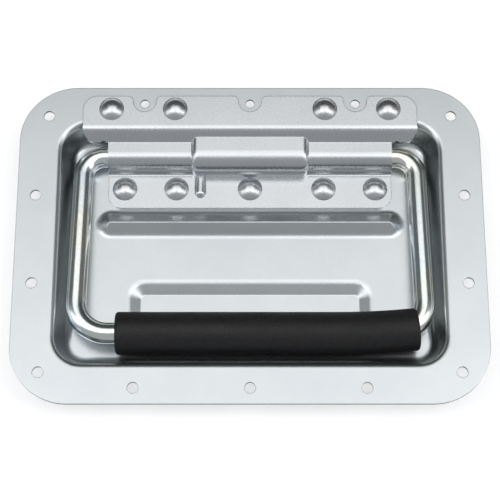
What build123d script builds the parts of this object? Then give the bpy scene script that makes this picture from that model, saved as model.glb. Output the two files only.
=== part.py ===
"""Recessed pull handle: a pressed steel dish with a spring-loaded bail.

Frame: the origin is at the centre of the flange, on its back face, which is the
mounting plane. +Z points out of the front, +X to the right and +Y up, towards the
bracket that holds the bail's hinge rod.
"""

import os
from math import asin, atan2, cos, degrees, hypot, radians, sin, tan

from build123d import *

# --- Dish: flange and recess (millimetres) ---
flange_width = 178.0
flange_height = 127.0
flange_corner = 22.0
dish_sheet = 1.2
recess_width = 146.2  # where the walls' planes meet the flange's front face
recess_height = 96.2
recess_corner = 11.0
recess_depth = 12.6  # flange front to floor front
wall_draft = 16.0
rim_radius = 2.5  # rounded lip of the recess, on the front
floor_radius = 3.0  # front radius where the walls meet the floor

# --- Mounting holes ---
mount_hole = 4.2
top_hole = 3.6
corner_pitch_x = 156.2
corner_pitch_y = 103.0
side_pitch_x = 164.0
side_pitch_y = 35.4
side_centre_y = 0.8
bottom_row_y = -57.4
bottom_pitch = 43.0
top_row_y = 56.7
top_pitch = 41.0

# --- Finger pocket, sunk in the floor under the grip ---
pocket_depth = 2.0
pocket_width = 93.0
pocket_top = -12.3
pocket_bottom = -41.5
pocket_corner = 6.5
pocket_run = 4.8  # run of its sloping side
pocket_brim = 5.0  # radius that softens its brim
pocket_foot = 1.0

# --- Stiffening rib, raised on the floor below the bracket ---
rib_height = 3.0
rib_y = 11.1
rib_half_width = 4.8
rib_half_length = 54.0  # to the centres of its round ends
rib_crest = 0.7  # radius of its crest
rib_foot = 4.0  # radius at its foot
groove_crest = 0.3  # radius inside the crest, on the sheet's back

# --- Bail: one bent rod ---
rod_diameter = 8.0
hinge_y = 37.5
floor_gap = 0.2  # between the hinge rod and the dish floor
leg_half_top = 64.8  # leg centres, at the hinge and at the grip
leg_half_bottom = 65.9
bar_drop = 73.0  # hinge line to the bottom bar, along the bail
top_bend = 8.5  # centreline radii
bottom_bend = 12.3
rod_end_gap = 1.0  # between the rod's two ends, under the spring
rod_chamfer = 0.6

# --- Grip: a sleeve on the bottom bar ---
grip_diameter = 16.0
grip_length = 113.0
grip_centre_x = 6.3  # it sits off centre, pushed on to the right bend
grip_bore_gap = 0.05
grip_edge = 1.2
grip_cap = 2.0  # straight length at the bent end
grip_sweep = 28.0  # length of its gently bent right end
grip_rise = 1.4  # how far the bent end lifts towards the hinge
grip_lift = 0.3  # between the grip and the floor beside the pocket

# --- Hinge bracket: one pressed sheet ---
bracket_sheet = 1.3
hump_gap = 0.3  # between the hinge rod and the hump's inside
body_half = 55.2  # half width of the hump and the lower leg
middle_half = 22.9  # half length of the higher hump over the spring
middle_end_radius = 2.6
slope_angle = 47.0
slope_top_y = 45.4  # where the upper leg's face would meet the slope
bend_radius = 4.0  # front radius of that bend
crease_radius = 0.6  # front radius between the slope and the hump
hump_foot = 1.0  # front radius between the hump and the lower leg
lower_leg_end = 17.5
lower_leg_corner = 5.5
upper_leg_half = 64.9
upper_leg_top = 59.5
upper_leg_corner = 5.5
ear_corner = 4.5
notch_width = 3.2
notch_rise = 0.5  # notch top above the ears' ends
scallop_radius = 4.5
scallop_drop = 0.6  # scallop centre above the top holes' line
scallop_mouth = 2.0  # corner radius at a scallop's mouth

# --- Torsion spring and the bead that holds its leg ---
wire = 1.5
coil_gap = 0.35  # between the coil and the rod
coil_turns = 12
coil_pitch = 3.16
leg_bend = 1.2
bead_end = 21.6
bead_gap = 0.15
hook_hole = 2.0
hook_reach = 2.0  # how far the spring's hook reaches into the rod
hook_depth = 2.6  # depth of the rod's hole for it

# --- Rivets ---
rivet_shank = 4.8
head_diameter = 9.6
head_height = 2.3
tail_diameter = 7.4
tail_height = 1.6
flush_depth_share = 0.6  # depth of a countersink for each unit of its run
rivet_gap = 0.05  # between a shank and its holes
upper_rivet_x = (-53.8, -29.1, 29.1, 53.8)
upper_rivet_y = 53.9
lower_rivet_x = (-48.8, -28.7, 0.0, 28.7, 48.8)
lower_rivet_y = 25.4

# --- Heights, radii and places that follow from the sizes above ---
flange_front = dish_sheet
floor_z = flange_front - recess_depth
floor_back = floor_z - dish_sheet
rod_r = rod_diameter / 2
grip_r = grip_diameter / 2
hinge_z = floor_z + floor_gap + rod_r
bar_z = floor_z + grip_lift + grip_r
bail_tilt = asin((bar_z - hinge_z) / bar_drop)
upper_front = flange_front + bracket_sheet
lower_front = floor_z + bracket_sheet
hump_r = rod_r + hump_gap + bracket_sheet
coil_r = rod_r + coil_gap + wire / 2
trough_r = coil_r + wire / 2 + bead_gap
middle_r = trough_r + bracket_sheet
trough_half = middle_half - bracket_sheet
coil_half = coil_pitch * (coil_turns + 0.25) / 2
bead_x = -coil_half
bead_inner_r = wire / 2 + bead_gap
bead_outer_r = bead_inner_r + bracket_sheet
bead_z = floor_z + bead_inner_r
slope_tan = tan(radians(slope_angle))
ear_end = slope_top_y - (upper_front - hinge_z - hump_r) / slope_tan
rivet_hole_r = rivet_shank / 2 + rivet_gap
under = floor_back - 10.0  # lower than every face of the part
over = upper_front + 10.0  # higher than the bracket and the rivets
bail_plane = Plane(
    (0, hinge_y, hinge_z), x_dir=(1, 0, 0), z_dir=(0, sin(bail_tilt), cos(bail_tilt))
)


def rib_form(grow):
    """The stiffening rib: a ridge with round ends, or the groove pressed up behind it."""
    crest_z = rib_height - rib_crest
    slope = atan2(crest_z, rib_half_width) + asin(rib_crest / hypot(rib_half_width, crest_z))
    edge = rib_half_width * sin(slope) - grow
    crest = rib_crest if grow == 0 else groove_crest
    centre_z = floor_z + (edge - crest) / cos(slope)
    base = floor_z - grow
    foot = (edge + grow * cos(slope)) / sin(slope)
    start = 90 - degrees(slope)
    with BuildPart() as rib:
        with BuildSketch(Plane.YZ):
            with BuildLine():
                top = CenterArc((rib_y, centre_z), crest, start, 2 * degrees(slope))
                Polyline(top @ 0, (rib_y + foot, base), (rib_y - foot, base), top @ 1)
            make_face()
        extrude(amount=rib_half_length, both=True)
        for x in (-rib_half_length, rib_half_length):
            with BuildSketch(Plane((x, rib_y, 0), x_dir=(1, 0, 0), z_dir=(0, -1, 0))):
                with BuildLine():
                    top = CenterArc((0, centre_z), crest, start, degrees(slope))
                    Polyline(top @ 0, (foot, base), (0, base), top @ 1)
                make_face()
            revolve(axis=Axis((x, rib_y, 0), (0, 0, 1)))
    return rib.part


def pocket_form(grow):
    """The finger pocket: a shallow sink with sloping sides."""
    shift = grow * tan(atan2(pocket_depth, pocket_run) / 2)
    width = pocket_width + 2 * shift
    height = pocket_top - pocket_bottom + 2 * shift
    corner = pocket_corner + shift
    centre = Location((0, (pocket_top + pocket_bottom) / 2))
    with BuildPart() as pocket:
        with BuildSketch(Plane.XY.offset(floor_z - grow)):
            with Locations(centre):
                RectangleRounded(width, height, corner)
        with BuildSketch(Plane.XY.offset(floor_z - grow - pocket_depth)):
            with Locations(centre):
                RectangleRounded(
                    width - 2 * pocket_run, height - 2 * pocket_run, corner - pocket_run
                )
        loft(ruled=True)
        fillet(pocket.faces().sort_by(Axis.Z)[0].edges(), pocket_foot + grow)
    return pocket.part


def at_floor(edge, grow, low_y, high_y):
    """True for an edge at the floor's level between two places along Y."""
    middle = edge.center()
    level = abs(middle.Z - (floor_z - grow)) < 0.01
    return level and low_y - 0.2 < middle.Y < high_y + 0.2


def recess_form(grow):
    """The recess as a solid: its front surface, or grown by the sheet for its back."""
    side = grow / cos(radians(wall_draft))
    rib = rib_form(grow)
    pocket = pocket_form(grow)
    with BuildPart() as form:
        with BuildSketch(Plane.XY.offset(flange_front)):
            RectangleRounded(
                recess_width + 2 * side, recess_height + 2 * side, recess_corner + side
            )
        extrude(amount=-(recess_depth + grow), taper=wall_draft)
        fillet(form.faces().sort_by(Axis.Z)[0].edges(), floor_radius + grow)
        add(rib, mode=Mode.SUBTRACT)
        rib_low, rib_high = rib_y - rib_half_width, rib_y + rib_half_width
        fillet(
            form.edges().filter_by(lambda e: at_floor(e, grow, rib_low, rib_high)),
            rib_foot + grow,
        )
        add(pocket)
        fillet(
            form.edges().filter_by(lambda e: at_floor(e, grow, pocket_bottom, pocket_top)),
            pocket_brim - grow,
        )
        # the trough that clears the spring
        with BuildSketch(Plane.YZ):
            with Locations((hinge_y, hinge_z)):
                Circle(trough_r + grow)
        extrude(amount=trough_half + grow, both=True)
    return form.part


def bracket_form(inset):
    """All that lies under the bracket's front face, or under its back when inset."""
    shift = inset * tan(radians(slope_angle / 2))
    top = hinge_z + hump_r - inset
    south = hinge_y - hump_r + inset
    north_end = upper_leg_top + 1.0
    south_end = lower_leg_end - 1.0
    middle = middle_hump(inset)
    bead = bead_form(inset)
    with BuildPart() as form:
        with BuildSketch(Plane.YZ):
            with BuildLine():
                front = FilletPolyline(
                    (north_end, upper_front - inset),
                    (slope_top_y + shift, upper_front - inset),
                    (ear_end + shift, top),
                    (south, top),
                    (south, lower_front - inset),
                    (south_end, lower_front - inset),
                    radius=(
                        bend_radius - inset,
                        crease_radius + inset,
                        hump_r - inset,
                        hump_foot + inset,
                    ),
                )
                Polyline(front @ 1, (south_end, under), (north_end, under), front @ 0)
            make_face()
        extrude(amount=upper_leg_half + 1.0, both=True)
        add(middle)
        add(bead)
    return form.part


def middle_hump(inset):
    """The higher hump over the spring, with rounded ends."""
    radius = middle_r - inset
    top = hinge_z + radius
    north = slope_top_y - (upper_front - hinge_z - middle_r) / slope_tan
    end_radius = middle_end_radius - inset
    with BuildPart() as hump:
        with BuildSketch(Plane.YZ):
            with BuildLine():
                front = FilletPolyline(
                    (north, top), (hinge_y - radius, top), (hinge_y - radius, floor_z), radius=radius
                )
                Polyline(front @ 1, (north, floor_z), front @ 0)
            make_face()
        extrude(amount=middle_half - inset, both=True)
        ends = hump.faces().filter_by(Axis.X)
        fillet(
            ends.edges().filter_by(lambda e: on_hump_front(e, top, radius)), end_radius
        )
    return hump.part


def on_hump_front(edge, top, radius):
    """True for the edges where the middle hump's ends meet its curved front."""
    middle = edge.center()
    across = middle.Y < hinge_y - radius + 0.01 or middle.Z > top - 0.01
    return across or edge.geom_type == GeomType.CIRCLE


def bead_form(inset):
    """The small bead over the spring's leg: half a rod with a round end."""
    radius = bead_outer_r - inset
    end_y = bead_end + bead_outer_r
    with BuildPart() as bead:
        with BuildSketch(Plane.XZ.offset(-end_y)):
            with Locations((bead_x, bead_z)):
                Circle(radius)
        extrude(amount=-(hinge_y - trough_r - end_y))
        with Locations((bead_x, end_y, bead_z)):
            Sphere(radius)
    return bead.part


def dome_radius(half_width, height):
    """Radius of the ball that a cap of this half width and height is cut from."""
    return (half_width**2 + height**2) / (2 * height)


def rivet_form(x, y, head_base, back, flush):
    """A rivet: domed head, shank, and a tail set flush in the sheet or domed behind it."""
    head_r, tail_r, shank_r = head_diameter / 2, tail_diameter / 2, rivet_shank / 2
    head_ball = dome_radius(head_r, head_height)
    tail_ball = dome_radius(tail_r, tail_height)
    sink = (tail_r - shank_r) * flush_depth_share
    head_turn = degrees(asin(head_r / head_ball))
    tail_turn = degrees(asin(tail_r / tail_ball))
    tip = back if flush else back - tail_height
    with BuildPart() as rivet:
        with BuildSketch(Plane((x, y, 0), x_dir=(1, 0, 0), z_dir=(0, -1, 0))):
            with BuildLine():
                CenterArc((0, head_base + head_height - head_ball), head_ball, 90 - head_turn, head_turn)
                Polyline((shank_r, head_base), (head_r, head_base))
                Line((0, head_base + head_height), (0, tip))
                if flush:
                    Polyline((0, tip), (tail_r, tip), (shank_r, tip + sink), (shank_r, head_base))
                else:
                    CenterArc((0, tip + tail_ball), tail_ball, -90, tail_turn)
                    Polyline((tail_r, back), (shank_r, back), (shank_r, head_base))
            make_face()
        revolve(axis=Axis((x, y, 0), (0, 0, 1)))
    return rivet.part


def rod_path():
    """The bail's centreline, from one rod end round to the other."""
    return FilletPolyline(
        (rod_end_gap / 2, 0),
        (leg_half_top, 0),
        (leg_half_bottom, -bar_drop),
        (-leg_half_bottom, -bar_drop),
        (-leg_half_top, 0),
        (-rod_end_gap / 2, 0),
        radius=(top_bend, bottom_bend, bottom_bend, top_bend),
    )


os.makedirs("parts", exist_ok=True)

# --- Dish ---
outer_form = recess_form(dish_sheet)
inner_form = recess_form(0)
with BuildPart() as dish:
    with BuildSketch(Plane.XY):
        RectangleRounded(flange_width, flange_height, flange_corner)
    extrude(amount=dish_sheet)
    add(outer_form)
    add(inner_form, mode=Mode.SUBTRACT)
    front_face = dish.faces().filter_by(lambda f: abs(f.center().Z - flange_front) < 0.01)
    fillet(front_face.sort_by(SortBy.AREA)[-1].inner_wires()[0].edges(), rim_radius)
    back_face = dish.faces().filter_by(Axis.Z).filter_by(lambda f: abs(f.center().Z) < 0.01)
    fillet(back_face.sort_by(SortBy.AREA)[-1].inner_wires()[0].edges(), rim_radius - dish_sheet)
    with Locations(Plane.XY.offset(flange_front)):
        with GridLocations(corner_pitch_x, corner_pitch_y, 2, 2):
            Hole(mount_hole / 2, depth=dish_sheet)
        with Locations((0, side_centre_y)):
            with GridLocations(side_pitch_x, side_pitch_y, 2, 2):
                Hole(mount_hole / 2, depth=dish_sheet)
        with Locations((0, bottom_row_y)):
            with GridLocations(bottom_pitch, 0, 3, 1):
                Hole(mount_hole / 2, depth=dish_sheet)
        with Locations((0, top_row_y)):
            with GridLocations(top_pitch, 0, 3, 1):
                Hole(top_hole / 2, depth=dish_sheet)
        with Locations(*[(x, upper_rivet_y) for x in upper_rivet_x]):
            Hole(rivet_hole_r, depth=dish_sheet)
    for x in upper_rivet_x:
        with BuildSketch(Plane((x, upper_rivet_y, 0), x_dir=(1, 0, 0), z_dir=(0, -1, 0))):
            with BuildLine():
                Polyline(
                    (0, 0),
                    (tail_diameter / 2 + rivet_gap, 0),
                    (rivet_hole_r, flush_depth_share * (tail_diameter - rivet_shank) / 2),
                    (0, flush_depth_share * (tail_diameter - rivet_shank) / 2),
                    (0, 0),
                )
            make_face()
        revolve(axis=Axis((x, upper_rivet_y, 0), (0, 0, 1)), mode=Mode.SUBTRACT)
    with Locations(Plane.XY.offset(floor_z)):
        with Locations(*[(x, lower_rivet_y) for x in lower_rivet_x]):
            Hole(rivet_hole_r, depth=dish_sheet)
dish.part.label = "dish"
export_step(dish.part, "parts/dish.step")

# --- Hinge bracket ---
bracket_front = bracket_form(0)
bracket_back = bracket_form(bracket_sheet)
mouth_reach = upper_leg_half - upper_leg_corner - 0.1
with BuildPart() as hinge_bracket:
    add(bracket_front)
    add(bracket_back, mode=Mode.SUBTRACT)
    with BuildSketch(Plane.XY.offset(under)) as plan:
        with Locations((0, (upper_leg_top + ear_end) / 2)):
            Rectangle(2 * upper_leg_half, upper_leg_top - ear_end)
        fillet(plan.vertices().group_by(Axis.Y)[-1], upper_leg_corner)
        fillet(plan.vertices().group_by(Axis.Y)[0], ear_corner)
        with Locations((0, top_row_y + scallop_drop)):
            with GridLocations(top_pitch, 0, 3, 1):
                Circle(scallop_radius, mode=Mode.SUBTRACT)
        with Locations((0, top_row_y + scallop_drop + scallop_radius)):
            with GridLocations(top_pitch, 0, 3, 1):
                Rectangle(2 * scallop_radius, 2 * scallop_radius, mode=Mode.SUBTRACT)
        mouths = plan.vertices().filter_by(
            lambda v: v.Y > upper_leg_top - 0.01 and abs(v.X) < mouth_reach
        )
        fillet(mouths, scallop_mouth)
        with Locations((0, (ear_end + 1.0 + lower_leg_end) / 2)):
            lower = Rectangle(2 * body_half, ear_end + 1.0 - lower_leg_end)
        fillet(plan.vertices().group_by(Axis.Y)[0], lower_leg_corner)
        with Locations((0, ear_end + notch_rise - notch_width / 2)):
            with GridLocations(2 * body_half + notch_width, 0, 2, 1):
                Circle(notch_width / 2, mode=Mode.SUBTRACT)
    extrude(amount=over - under, mode=Mode.INTERSECT)
    with Locations(Plane.XY.offset(upper_front)):
        with Locations(*[(x, upper_rivet_y) for x in upper_rivet_x]):
            Hole(rivet_hole_r, depth=bracket_sheet)
    with Locations(Plane.XY.offset(lower_front)):
        with Locations(*[(x, lower_rivet_y) for x in lower_rivet_x]):
            Hole(rivet_hole_r, depth=bracket_sheet)
hinge_bracket.part.label = "hinge_bracket"
export_step(hinge_bracket.part, "parts/hinge_bracket.step")

# --- Bail ---
hook_x = coil_half
with BuildPart() as bail:
    with BuildLine(bail_plane) as bail_line:
        rod_path()
    with BuildSketch(Plane(bail_line.line @ 0, x_dir=(0, 1, 0), z_dir=(1, 0, 0))):
        Circle(rod_r)
    sweep()
    chamfer(bail.faces().filter_by(Axis.X).edges(), rod_chamfer)
    with Locations((hook_x, hinge_y, hinge_z + rod_r)):
        Cylinder(hook_hole / 2, 2 * hook_depth, mode=Mode.SUBTRACT)
bail.part.label = "bail"
export_step(bail.part, "parts/bail.step")

# --- Grip ---
grip_left = grip_centre_x - grip_length / 2
grip_right = grip_left + grip_length - grip_cap
grip_curve = (grip_sweep**2 + grip_rise**2) / (2 * grip_rise)
grip_turn = asin(grip_sweep / grip_curve)
with BuildPart() as grip:
    with BuildLine(bail_plane) as grip_line:
        Line((grip_left, -bar_drop), (grip_right - grip_sweep, -bar_drop))
        ThreePointArc(
            (grip_right - grip_sweep, -bar_drop),
            (
                grip_right - grip_sweep + grip_curve * sin(grip_turn / 2),
                grip_curve * (1 - cos(grip_turn / 2)) - bar_drop,
            ),
            (grip_right, grip_rise - bar_drop),
        )
    with BuildSketch(Plane(grip_line.line @ 0, x_dir=(0, 1, 0), z_dir=(1, 0, 0))):
        Circle(grip_r)
    sweep()
    with BuildSketch(Plane(grip_line.line @ 1, z_dir=grip_line.line % 1)):
        Circle(grip_r)
    extrude(amount=grip_cap)
    fillet(grip.faces().sort_by(Axis.X)[-1].edges(), grip_edge)
    fillet(grip.faces().sort_by(Axis.X)[0].edges(), grip_edge)
    with BuildLine(bail_plane) as bore_line:
        rod_path()
    with BuildSketch(Plane(bore_line.line @ 0, x_dir=(0, 1, 0), z_dir=(1, 0, 0))):
        Circle(rod_r + grip_bore_gap)
    sweep(mode=Mode.SUBTRACT)
grip.part.label = "grip"
export_step(grip.part, "parts/grip.step")

# --- Rivets ---
for count, x in enumerate(upper_rivet_x, start=1):
    rivet = rivet_form(x, upper_rivet_y, upper_front, 0, flush=True)
    rivet.label = f"upper_rivet_{count}"
    export_step(rivet, f"parts/upper_rivet_{count}.step")
for count, x in enumerate(lower_rivet_x, start=1):
    rivet = rivet_form(x, lower_rivet_y, lower_front, floor_back, flush=False)
    rivet.label = f"lower_rivet_{count}"
    export_step(rivet, f"parts/lower_rivet_{count}.step")

# --- Torsion spring ---
coil_length = 2 * coil_half
spring_start = Vector(-coil_half, hinge_y - coil_r, hinge_z)
hook_top = Vector(hook_x, hinge_y, hinge_z + coil_r)
coil_plane = Plane((-coil_half, hinge_y, hinge_z), x_dir=(0, -1, 0), z_dir=(1, 0, 0))
with BuildPart() as coil:
    with BuildLine() as turns:
        Helix(coil_pitch, coil_length, coil_r, lefthand=True)
    with BuildSketch(Plane(turns.line @ 0, z_dir=turns.line % 0)):
        Circle(wire / 2)
    sweep(is_frenet=True)
with BuildPart() as torsion_spring:
    add(coil_plane.location * coil.part)
    # the leg that lies in the bead, down from the coil's south side
    with BuildLine(Plane.YZ.offset(-coil_half)) as leg:
        FilletPolyline(
            (hinge_y - coil_r, hinge_z),
            (hinge_y - coil_r, bead_z),
            (bead_end + bead_outer_r, bead_z),
            radius=leg_bend,
        )
    with BuildSketch(Plane(leg.line @ 0, z_dir=leg.line % 0)):
        Circle(wire / 2)
    sweep()
    with Locations(spring_start, hook_top):
        Sphere(wire / 2)
    # the hook into the rod's cross hole
    with BuildSketch(Plane.XY.offset(hinge_z + coil_r)):
        with Locations((hook_x, hinge_y)):
            Circle(wire / 2)
    extrude(amount=-(coil_gap + wire / 2 + hook_reach))
torsion_spring.part.label = "torsion_spring"
export_step(torsion_spring.part, "parts/torsion_spring.step")
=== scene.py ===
"""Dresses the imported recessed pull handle: finishes, floor, light and camera."""

import math

import bpy
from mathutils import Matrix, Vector


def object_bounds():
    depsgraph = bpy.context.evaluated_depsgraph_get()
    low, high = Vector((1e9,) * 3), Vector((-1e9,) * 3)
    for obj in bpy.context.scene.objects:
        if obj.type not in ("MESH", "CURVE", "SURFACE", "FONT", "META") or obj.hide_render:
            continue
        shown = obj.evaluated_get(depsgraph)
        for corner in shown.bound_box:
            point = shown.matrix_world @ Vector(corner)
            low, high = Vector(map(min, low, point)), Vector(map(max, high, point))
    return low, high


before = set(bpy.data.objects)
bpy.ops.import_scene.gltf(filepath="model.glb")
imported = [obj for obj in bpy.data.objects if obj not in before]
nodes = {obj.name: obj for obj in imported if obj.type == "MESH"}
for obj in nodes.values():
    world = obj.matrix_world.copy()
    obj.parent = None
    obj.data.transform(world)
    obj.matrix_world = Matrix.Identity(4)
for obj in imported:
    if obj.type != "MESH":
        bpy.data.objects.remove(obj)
cad_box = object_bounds()

MM = 0.001

# Camera: square on to the handle's long sides, looking down on it from the grip's side
CAMERA_PLACE = (0.0, -0.2032, 0.5609)
CAMERA_TILT = math.radians(19.6)
CAMERA_LENS = 113.3
CAMERA_SENSOR = 36.0

# Studio
FLOOR_SIZE = 6.0
FLOOR_COLOUR = (0.92, 0.92, 0.92)
FLOOR_GLOW = 0.42
STUDIO_REACH = 1.1  # distance of the lights from the handle
WORLD_SOUTH = (0.36, 0.37, 0.38)  # light from the grip's side and from the hinge's side
WORLD_NORTH = (0.05, 0.055, 0.05)
WORLD_FADE = (-0.2, 0.6)  # where one gives way to the other, along Y

# Sheet metal
# Painted shade: a dark colour on the sheet's upright cut edges and hole walls, standing in for
# the shade that falls there
CUT_EDGE_FACING = 0.35  # how upright a face is that counts as a cut edge
CUT_EDGE_LEVEL = 0.02 * MM  # just above the mounting plane
EDGE_SHADE_COLOUR = (0.12, 0.13, 0.13)
EDGE_SOFTNESS = 0.35 * MM

# Tints of the bright rod, and the grip's black
ROD_BLUE = (0.78, 0.88, 0.96)
ROD_STRAW = (0.93, 0.92, 0.82)
GRIP_DEEP = (0.008, 0.008, 0.009)
GRIP_PALE = (0.018, 0.018, 0.019)


# --- Materials ---------------------------------------------------------------------------


class Shader:
    """A node material under construction: one Principled BSDF and what feeds it."""

    def __init__(self, name, colour, metallic, roughness):
        self.material = bpy.data.materials.new(name)
        self.material.use_nodes = True
        self.tree = self.material.node_tree
        self.surface = self.tree.nodes["Principled BSDF"]
        self.surface.inputs["Base Color"].default_value = (*colour, 1.0)
        self.surface.inputs["Metallic"].default_value = metallic
        self.surface.inputs["Roughness"].default_value = roughness
        self.place = self.add("ShaderNodeTexCoord").outputs["Object"]

    def add(self, kind, **settings):
        node = self.tree.nodes.new(kind)
        for key, value in settings.items():
            setattr(node, key, value)
        return node

    def link(self, source, target):
        self.tree.links.new(source, target)

    def noise(self, scale, detail=3.0, roughness=0.55):
        """Noise over the piece, scale in features per metre."""
        texture = self.add("ShaderNodeTexNoise")
        texture.inputs["Scale"].default_value = scale
        texture.inputs["Detail"].default_value = detail
        texture.inputs["Roughness"].default_value = roughness
        self.link(self.place, texture.inputs["Vector"])
        return texture.outputs["Fac"]

    def spread(self, value, low, high, start=0.3, end=0.7):
        """Maps a value from start..end on to low..high."""
        node = self.add("ShaderNodeMapRange")
        node.inputs["From Min"].default_value = start
        node.inputs["From Max"].default_value = end
        node.inputs["To Min"].default_value = low
        node.inputs["To Max"].default_value = high
        self.link(value, node.inputs["Value"])
        return node.outputs["Result"]

    def blend(self, value, first, second):
        """A colour between two, by a value."""
        node = self.add("ShaderNodeMix", data_type="RGBA")
        node.inputs["A"].default_value = (*first, 1.0)
        node.inputs["B"].default_value = (*second, 1.0)
        self.link(value, node.inputs["Factor"])
        return node.outputs["Result"]

    def colour(self, source):
        """Sets the base colour from a texture."""
        self.link(source, self.surface.inputs["Base Color"])

    def roughness(self, source):
        """Sets the roughness from a texture."""
        self.link(source, self.surface.inputs["Roughness"])

    def paint_edge_shade(self, colour, deep):
        """Paints shade on the sheet's cut edges: darkens upright faces above the mounting
        plane.
        """
        shape = self.add("ShaderNodeNewGeometry")
        facing = self.add("ShaderNodeSeparateXYZ")
        place = self.add("ShaderNodeSeparateXYZ")
        self.link(shape.outputs["True Normal"], facing.inputs["Vector"])
        self.link(self.place, place.inputs["Vector"])
        upright = self.add("ShaderNodeMath", operation="COMPARE")
        upright.inputs[1].default_value = 0.0
        upright.inputs[2].default_value = CUT_EDGE_FACING
        self.link(facing.outputs["Z"], upright.inputs[0])
        raised = self.add("ShaderNodeMath", operation="GREATER_THAN")
        raised.inputs[1].default_value = CUT_EDGE_LEVEL
        self.link(place.outputs["Z"], raised.inputs[0])
        both = self.add("ShaderNodeMath", operation="MULTIPLY")
        self.link(upright.outputs[0], both.inputs[0])
        self.link(raised.outputs[0], both.inputs[1])
        node = self.add("ShaderNodeMix", data_type="RGBA")
        node.inputs["B"].default_value = (*deep, 1.0)
        self.link(both.outputs[0], node.inputs["Factor"])
        self.link(colour, node.inputs["A"])
        return node.outputs["Result"]

    def bump(self, height, strength, distance, edge=0.0):
        """Fine relief; edge is the radius that the shading gives to sharp edges."""
        node = self.add("ShaderNodeBump")
        if edge:
            bevel = self.add("ShaderNodeBevel", samples=6)
            bevel.inputs["Radius"].default_value = edge
            self.link(bevel.outputs["Normal"], node.inputs["Normal"])
        node.inputs["Strength"].default_value = strength
        node.inputs["Distance"].default_value = distance
        self.link(height, node.inputs["Height"])
        self.link(node.outputs["Normal"], self.surface.inputs["Normal"])


def zinc_sheet(name, pale, deep, rough_low, rough_high):
    """Bright zinc on rolled steel: fine speckle, faint clouds and a satin shine."""
    shader = Shader(name, pale, 1.0, rough_low)
    clouds = shader.noise(45.0, detail=4.0)
    plating = shader.blend(shader.spread(clouds, low=0.0, high=1.0), pale, deep)
    # painted shade on the upright cut edges and hole walls above the mounting plane
    shader.colour(shader.paint_edge_shade(plating, EDGE_SHADE_COLOUR))
    grain = shader.noise(2600.0, detail=2.0, roughness=0.6)
    shader.roughness(shader.spread(grain, rough_low, rough_high))
    speckle = shader.noise(1500.0, detail=3.0, roughness=0.6)
    shader.bump(speckle, strength=0.08, distance=0.03 * MM, edge=EDGE_SOFTNESS)
    return shader.material


def zinc_rod():
    """Bright zinc on drawn rod, with the plating's faint blue and straw tints."""
    shader = Shader("zinc_rod", (0.86, 0.90, 0.93), 1.0, 0.2)
    tint = shader.noise(38.0, detail=2.0)
    shader.colour(shader.blend(shader.spread(tint, low=0.0, high=1.0), ROD_BLUE, ROD_STRAW))
    shader.roughness(shader.spread(shader.noise(900.0, detail=2.0), 0.17, 0.25))
    shader.bump(shader.noise(400.0, detail=2.0), strength=0.05, distance=0.02 * MM)
    return shader.material


def rivet_steel():
    """Bright plated steel, slightly dulled by the rivet set."""
    shader = Shader("rivet_steel", (0.66, 0.67, 0.69), 1.0, 0.3)
    shader.roughness(shader.spread(shader.noise(1200.0, detail=2.0), 0.26, 0.34))
    shader.bump(shader.noise(260.0, detail=2.0), strength=0.12, distance=0.05 * MM)
    return shader.material


def spring_wire():
    """Drawn spring wire, darker and duller than the plated sheet."""
    shader = Shader("spring_wire", (0.42, 0.42, 0.43), 1.0, 0.32)
    shader.roughness(shader.spread(shader.noise(1500.0), 0.25, 0.4))
    return shader.material


def grip_rubber():
    """Black moulded sleeve with a fine pebbled grain."""
    shader = Shader("grip_rubber", (0.010, 0.010, 0.011), 0.0, 0.5)
    shader.surface.inputs["Specular IOR Level"].default_value = 0.35
    grain = shader.noise(1100.0, detail=3.0, roughness=0.65)
    shader.colour(shader.blend(shader.spread(grain, low=0.0, high=1.0), GRIP_DEEP, GRIP_PALE))
    shader.roughness(shader.spread(shader.noise(60.0), 0.42, 0.6))
    shader.bump(grain, strength=0.9, distance=0.2 * MM)
    return shader.material


def floor_white():
    """A pale studio table, lit evenly enough to read as white."""
    shader = Shader("floor_white", FLOOR_COLOUR, 0.0, 0.9)
    shader.surface.inputs["Emission Color"].default_value = (1.0, 1.0, 1.0, 1.0)
    shader.surface.inputs["Emission Strength"].default_value = FLOOR_GLOW
    return shader.material


def finish_node(name, material):
    """Gives a CAD node its finish."""
    piece = nodes[name]
    piece.data.materials.clear()
    piece.data.materials.append(material)


sheet_finish = zinc_sheet("zinc_sheet", (0.64, 0.67, 0.68), (0.60, 0.63, 0.65), 0.27, 0.34)
bracket_finish = zinc_sheet("zinc_bracket", (0.67, 0.69, 0.71), (0.63, 0.65, 0.67), 0.25, 0.32)
rod_finish = zinc_rod()
rivet_finish = rivet_steel()
finish_node("dish", sheet_finish)
finish_node("hinge_bracket", bracket_finish)
finish_node("bail", rod_finish)
finish_node("grip", grip_rubber())
finish_node("torsion_spring", spring_wire())
for node_name in nodes:
    if "rivet" in node_name:
        finish_node(node_name, rivet_finish)


# --- Studio ------------------------------------------------------------------------------


def panel(name, lean, turn, width, height, glow):
    """A soft rectangular light, aimed at the handle.

    lean is its angle from straight above, turn its direction (0 towards +Y, 90 towards +X),
    width and height the angles that it covers, in degrees, and glow how bright it looks.
    """
    lean, turn = math.radians(lean), math.radians(turn)
    place = STUDIO_REACH * Vector(
        (math.sin(lean) * math.sin(turn), math.sin(lean) * math.cos(turn), math.cos(lean))
    )
    light = bpy.data.lights.new(name, "AREA")
    light.shape = "RECTANGLE"
    light.size = 2 * STUDIO_REACH * math.tan(math.radians(width / 2))
    light.size_y = 2 * STUDIO_REACH * math.tan(math.radians(height / 2))
    light.energy = glow * math.pi * light.size * light.size_y
    holder = bpy.data.objects.new(name, light)
    bpy.context.scene.collection.objects.link(holder)
    holder.location = place
    holder.rotation_euler = (-place).to_track_quat("-Z", "Y").to_euler()


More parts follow.
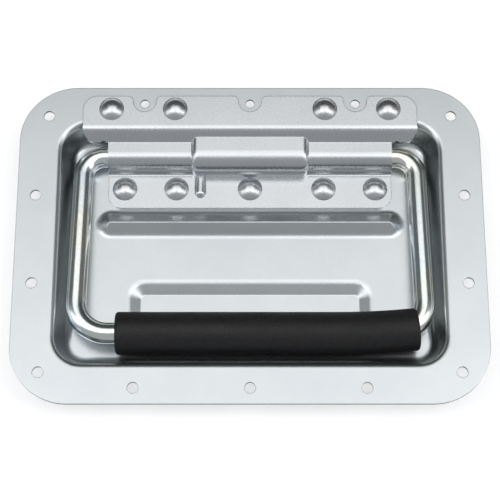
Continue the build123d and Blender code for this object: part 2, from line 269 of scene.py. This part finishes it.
def make_world():
    """Dim surroundings: lighter towards the viewer's side, dark behind the hinge."""
    world = bpy.data.worlds.new("studio")
    world.use_nodes = True
    tree = world.node_tree
    place = tree.nodes.new("ShaderNodeTexCoord")
    split = tree.nodes.new("ShaderNodeSeparateXYZ")
    spread = tree.nodes.new("ShaderNodeMapRange")
    ramp = tree.nodes.new("ShaderNodeMix")
    ramp.data_type = "RGBA"
    spread.interpolation_type = "SMOOTHSTEP"
    spread.inputs["From Min"].default_value = WORLD_FADE[0]
    spread.inputs["From Max"].default_value = WORLD_FADE[1]
    ramp.inputs["A"].default_value = (*WORLD_SOUTH, 1.0)
    ramp.inputs["B"].default_value = (*WORLD_NORTH, 1.0)
    tree.links.new(place.outputs["Generated"], split.inputs["Vector"])
    tree.links.new(split.outputs["Y"], spread.inputs["Value"])
    tree.links.new(spread.outputs["Result"], ramp.inputs["Factor"])
    tree.links.new(ramp.outputs["Result"], tree.nodes["Background"].inputs["Color"])
    bpy.context.scene.world = world


def make_floor(level):
    """The table that the handle rests on."""
    bpy.ops.object.select_all(action="DESELECT")
    bpy.ops.mesh.primitive_plane_add(size=FLOOR_SIZE, location=(0.0, 0.0, level))
    floor = bpy.context.object
    floor.name = "floor"
    floor.data.materials.append(floor_white())
    bpy.ops.object.transform_apply(location=True, rotation=True, scale=True)


def make_camera():
    """One long lens above the grip's side."""
    camera = bpy.data.cameras.new("camera")
    camera.lens = CAMERA_LENS
    camera.sensor_width = CAMERA_SENSOR
    holder = bpy.data.objects.new("camera", camera)
    bpy.context.scene.collection.objects.link(holder)
    holder.location = CAMERA_PLACE
    holder.rotation_euler = (CAMERA_TILT, 0.0, 0.0)
    bpy.context.scene.camera = holder


make_floor(cad_box[0][2])
make_camera()
panel("overhead", lean=9.0, turn=0.0, width=56.0, height=46.0, glow=1.08)
panel("left_side", lean=42.0, turn=262.0, width=22.0, height=60.0, glow=1.3)
panel("right_side", lean=42.0, turn=98.0, width=22.0, height=60.0, glow=1.5)
make_world()
bpy.context.scene.view_settings.view_transform = "Standard"
